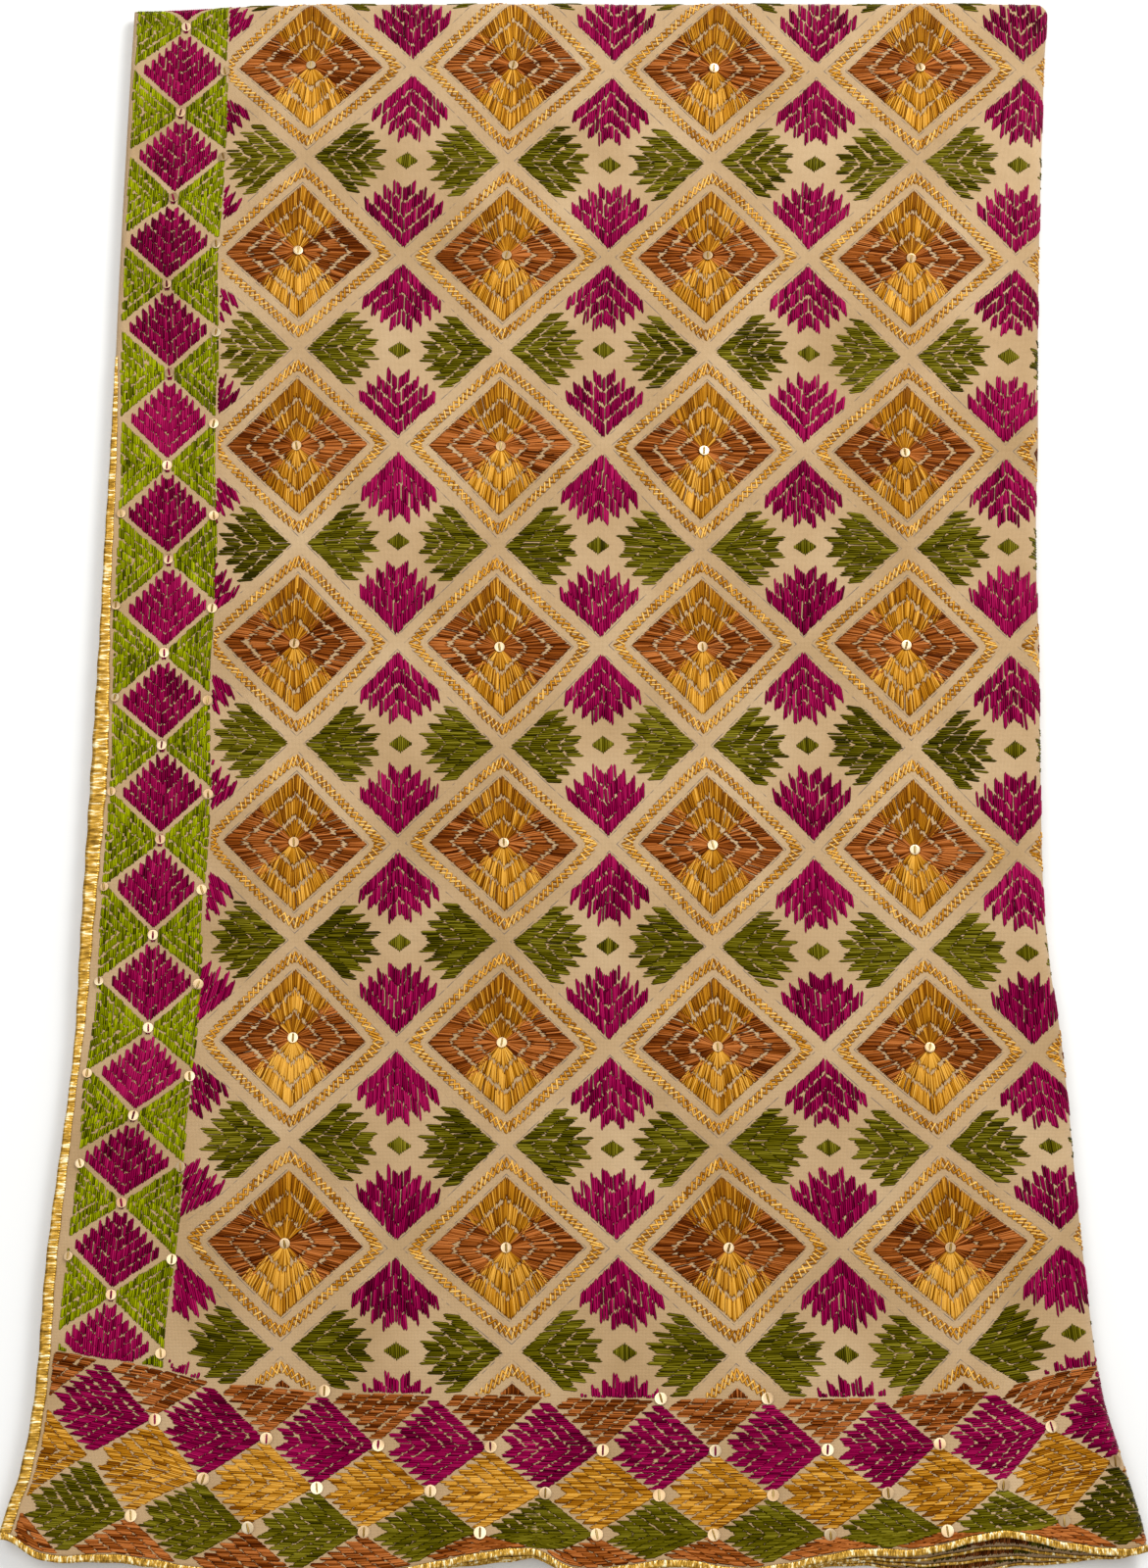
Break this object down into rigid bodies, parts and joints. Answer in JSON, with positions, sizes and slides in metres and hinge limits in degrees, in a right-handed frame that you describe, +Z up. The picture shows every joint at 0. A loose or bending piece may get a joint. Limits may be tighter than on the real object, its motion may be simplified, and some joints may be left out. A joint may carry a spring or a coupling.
{
  "type": "folded phulkari shawl",
  "caption": "Embroidered cotton shawl folded in four and laid flat, with gold lace along its loose side and wavy hems.",
  "frame": {"origin": "middle of the underside, on the surface the folded shawl rests on", "axes": "+Y along the shawl from its hem to its top fold, +X towards the right fold, +Z up"},
  "size_m": [0.5682, 0.8624, 0.0231],
  "materials": {
    "cloth": "undyed tan cotton worked with floss silk in magenta, green, gold and brown",
    "lace": "crinkled gold metal-thread lace"
  },
  "bodies": {
    "root": {"top_layer": "cloth", "hidden_layers": "cloth", "second_layer_end": "cloth", "third_layer_end": "cloth", "fourth_layer_end": "cloth", "side_lace": "lace", "end_lace": "lace", "second_lace": "lace", "third_lace": "lace", "fourth_lace": "lace"}
  },
  "joints": []
}
